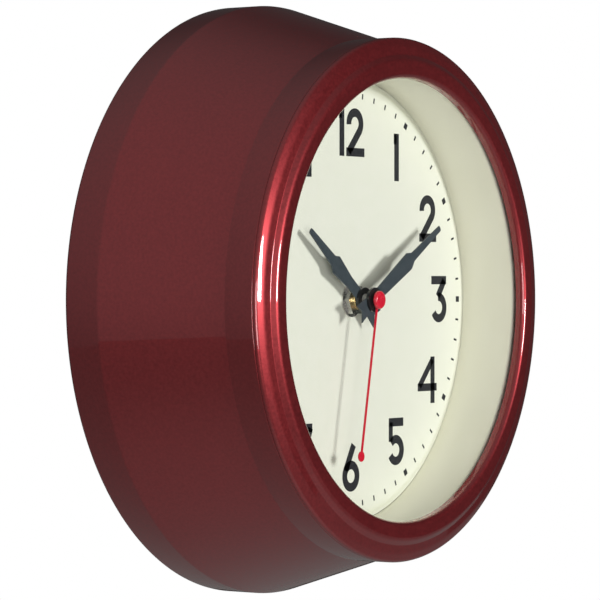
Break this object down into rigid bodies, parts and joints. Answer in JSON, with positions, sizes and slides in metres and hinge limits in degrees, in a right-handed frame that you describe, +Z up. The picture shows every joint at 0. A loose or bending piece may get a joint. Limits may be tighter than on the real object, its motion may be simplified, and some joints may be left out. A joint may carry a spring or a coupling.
{
  "type": "wall clock",
  "caption": "Round quartz wall clock with a deep conical metal case, glazed rolled bezel, numbered dial, three hands, geared movement and keyhole hanger.",
  "frame": {"origin": "centre of the plane that touches the wall, on the axis of the case", "axes": "+Z up as hung, +Y into the wall, -Y out of the dial towards the reader, +X to the reader's right"},
  "size_m": [0.2396, 0.0817, 0.2396],
  "materials": {
    "case_paint": "maroon metallic paint under a clear gloss coat",
    "glass": "clear flat glass",
    "black_rubber": "matt black rubber",
    "cream_paint": "satin cream paint",
    "dial_paint": "satin off-white paint, printed in dark grey",
    "bright_steel": "zinc-plated steel",
    "black_steel": "black semi-matt paint",
    "brass": "turned brass",
    "black_plastic": "black moulded plastic",
    "white_plastic": "white moulded plastic",
    "slate_paint": "slate-grey satin paint",
    "black_paint": "black satin paint",
    "red_paint": "red gloss paint",
    "circuit_green": "glass-fibre board with green resist",
    "copper_wire": "enamelled copper wire",
    "dark_iron": "dark ferrite and laminated iron",
    "cell_wrap": "plain dark cell sleeve"
  },
  "bodies": {
    "case": {"case_shell": "case_paint", "front_bezel": "case_paint", "bezel_screws": "bright_steel", "lens_glass": "glass", "lens_gasket": "black_rubber", "reflector_ring": "cream_paint", "dial_plate": "dial_paint", "dial_carrier": "bright_steel", "case_brackets": "bright_steel", "carrier_screws": "bright_steel", "rear_cover": "black_steel", "rear_cover_screws": "bright_steel", "hanger_plate": "bright_steel", "hanger_rivets": "bright_steel", "wall_pads": "black_rubber", "movement_housing": "black_plastic", "movement_rear_cover": "black_plastic", "movement_screws": "bright_steel", "shaft_bushing": "brass", "movement_gasket": "black_rubber", "mounting_washer": "bright_steel", "mounting_nut": "brass", "stator_plate": "dark_iron", "coil_core": "dark_iron", "coil_bobbin": "white_plastic", "coil_winding": "copper_wire", "circuit_board": "circuit_green", "driver_chip": "black_plastic", "quartz_crystal": "bright_steel", "battery_spring": "bright_steel", "battery_contact": "bright_steel"},
    "hour": {"hour_wheel": "white_plastic", "hour_hand": "slate_paint", "hour_collet": "black_paint"},
    "minute": {"minute_wheel": "white_plastic", "minute_hand": "slate_paint", "minute_collet": "black_paint"},
    "seconds": {"seconds_wheel": "white_plastic", "seconds_hand": "red_paint", "seconds_collet": "bright_steel", "seconds_cap": "red_paint"},
    "third": {"third_wheel": "white_plastic"},
    "fifth": {"fifth_wheel": "white_plastic"},
    "rotor": {"rotor_pinion": "white_plastic", "rotor_magnet": "dark_iron"},
    "minute_work": {"minute_work_wheel": "white_plastic"},
    "setting_knob": {"setting_stem": "white_plastic", "setting_knob": "black_plastic"},
    "battery": {"battery_cell": "cell_wrap"}
  },
  "joints": [
    {"name": "minute_spin", "type": "hinge", "parent": "case", "child": "minute", "pos_m": [0, -0.045, 0], "axis": [0, 1, 0], "continuous": true},
    {"name": "hour_spin", "type": "hinge", "parent": "case", "child": "hour", "pos_m": [0, -0.045, 0], "axis": [0, 1, 0], "continuous": true},
    {"name": "seconds_spin", "type": "hinge", "parent": "case", "child": "seconds", "pos_m": [0, -0.045, 0], "axis": [0, 1, 0], "continuous": true},
    {"name": "third_spin", "type": "hinge", "parent": "case", "child": "third", "pos_m": [0.00935, -0.045, 0.0054], "axis": [0, 1, 0], "continuous": true},
    {"name": "fifth_spin", "type": "hinge", "parent": "case", "child": "fifth", "pos_m": [-0.00056, -0.045, 0.01078], "axis": [0, 1, 0], "continuous": true},
    {"name": "rotor_spin", "type": "hinge", "parent": "case", "child": "rotor", "pos_m": [0.00207, -0.045, 0.01802], "axis": [0, 1, 0], "continuous": true},
    {"name": "minute_work_spin", "type": "hinge", "parent": "case", "child": "minute_work", "pos_m": [-0.00996, -0.045, 0.00575], "axis": [0, 1, 0], "continuous": true},
    {"name": "setting_knob_spin", "type": "hinge", "parent": "case", "child": "setting_knob", "pos_m": [-0.01196, -0.045, 0.01707], "axis": [0, 1, 0], "continuous": true},
    {"name": "battery_slide", "type": "slide", "parent": "case", "child": "battery", "axis": [0, 1, 0], "range_m": [0, 0.03]}
  ],
  "couplings": [
    {"joint": "hour_spin", "follows": "minute_spin", "ratio": 0.083333},
    {"joint": "seconds_spin", "follows": "minute_spin", "ratio": 60},
    {"joint": "third_spin", "follows": "minute_spin", "ratio": -8},
    {"joint": "fifth_spin", "follows": "minute_spin", "ratio": -300},
    {"joint": "rotor_spin", "follows": "minute_spin", "ratio": 1800},
    {"joint": "minute_work_spin", "follows": "minute_spin", "ratio": -0.33333},
    {"joint": "setting_knob_spin", "follows": "minute_spin", "ratio": 1}
  ]
}
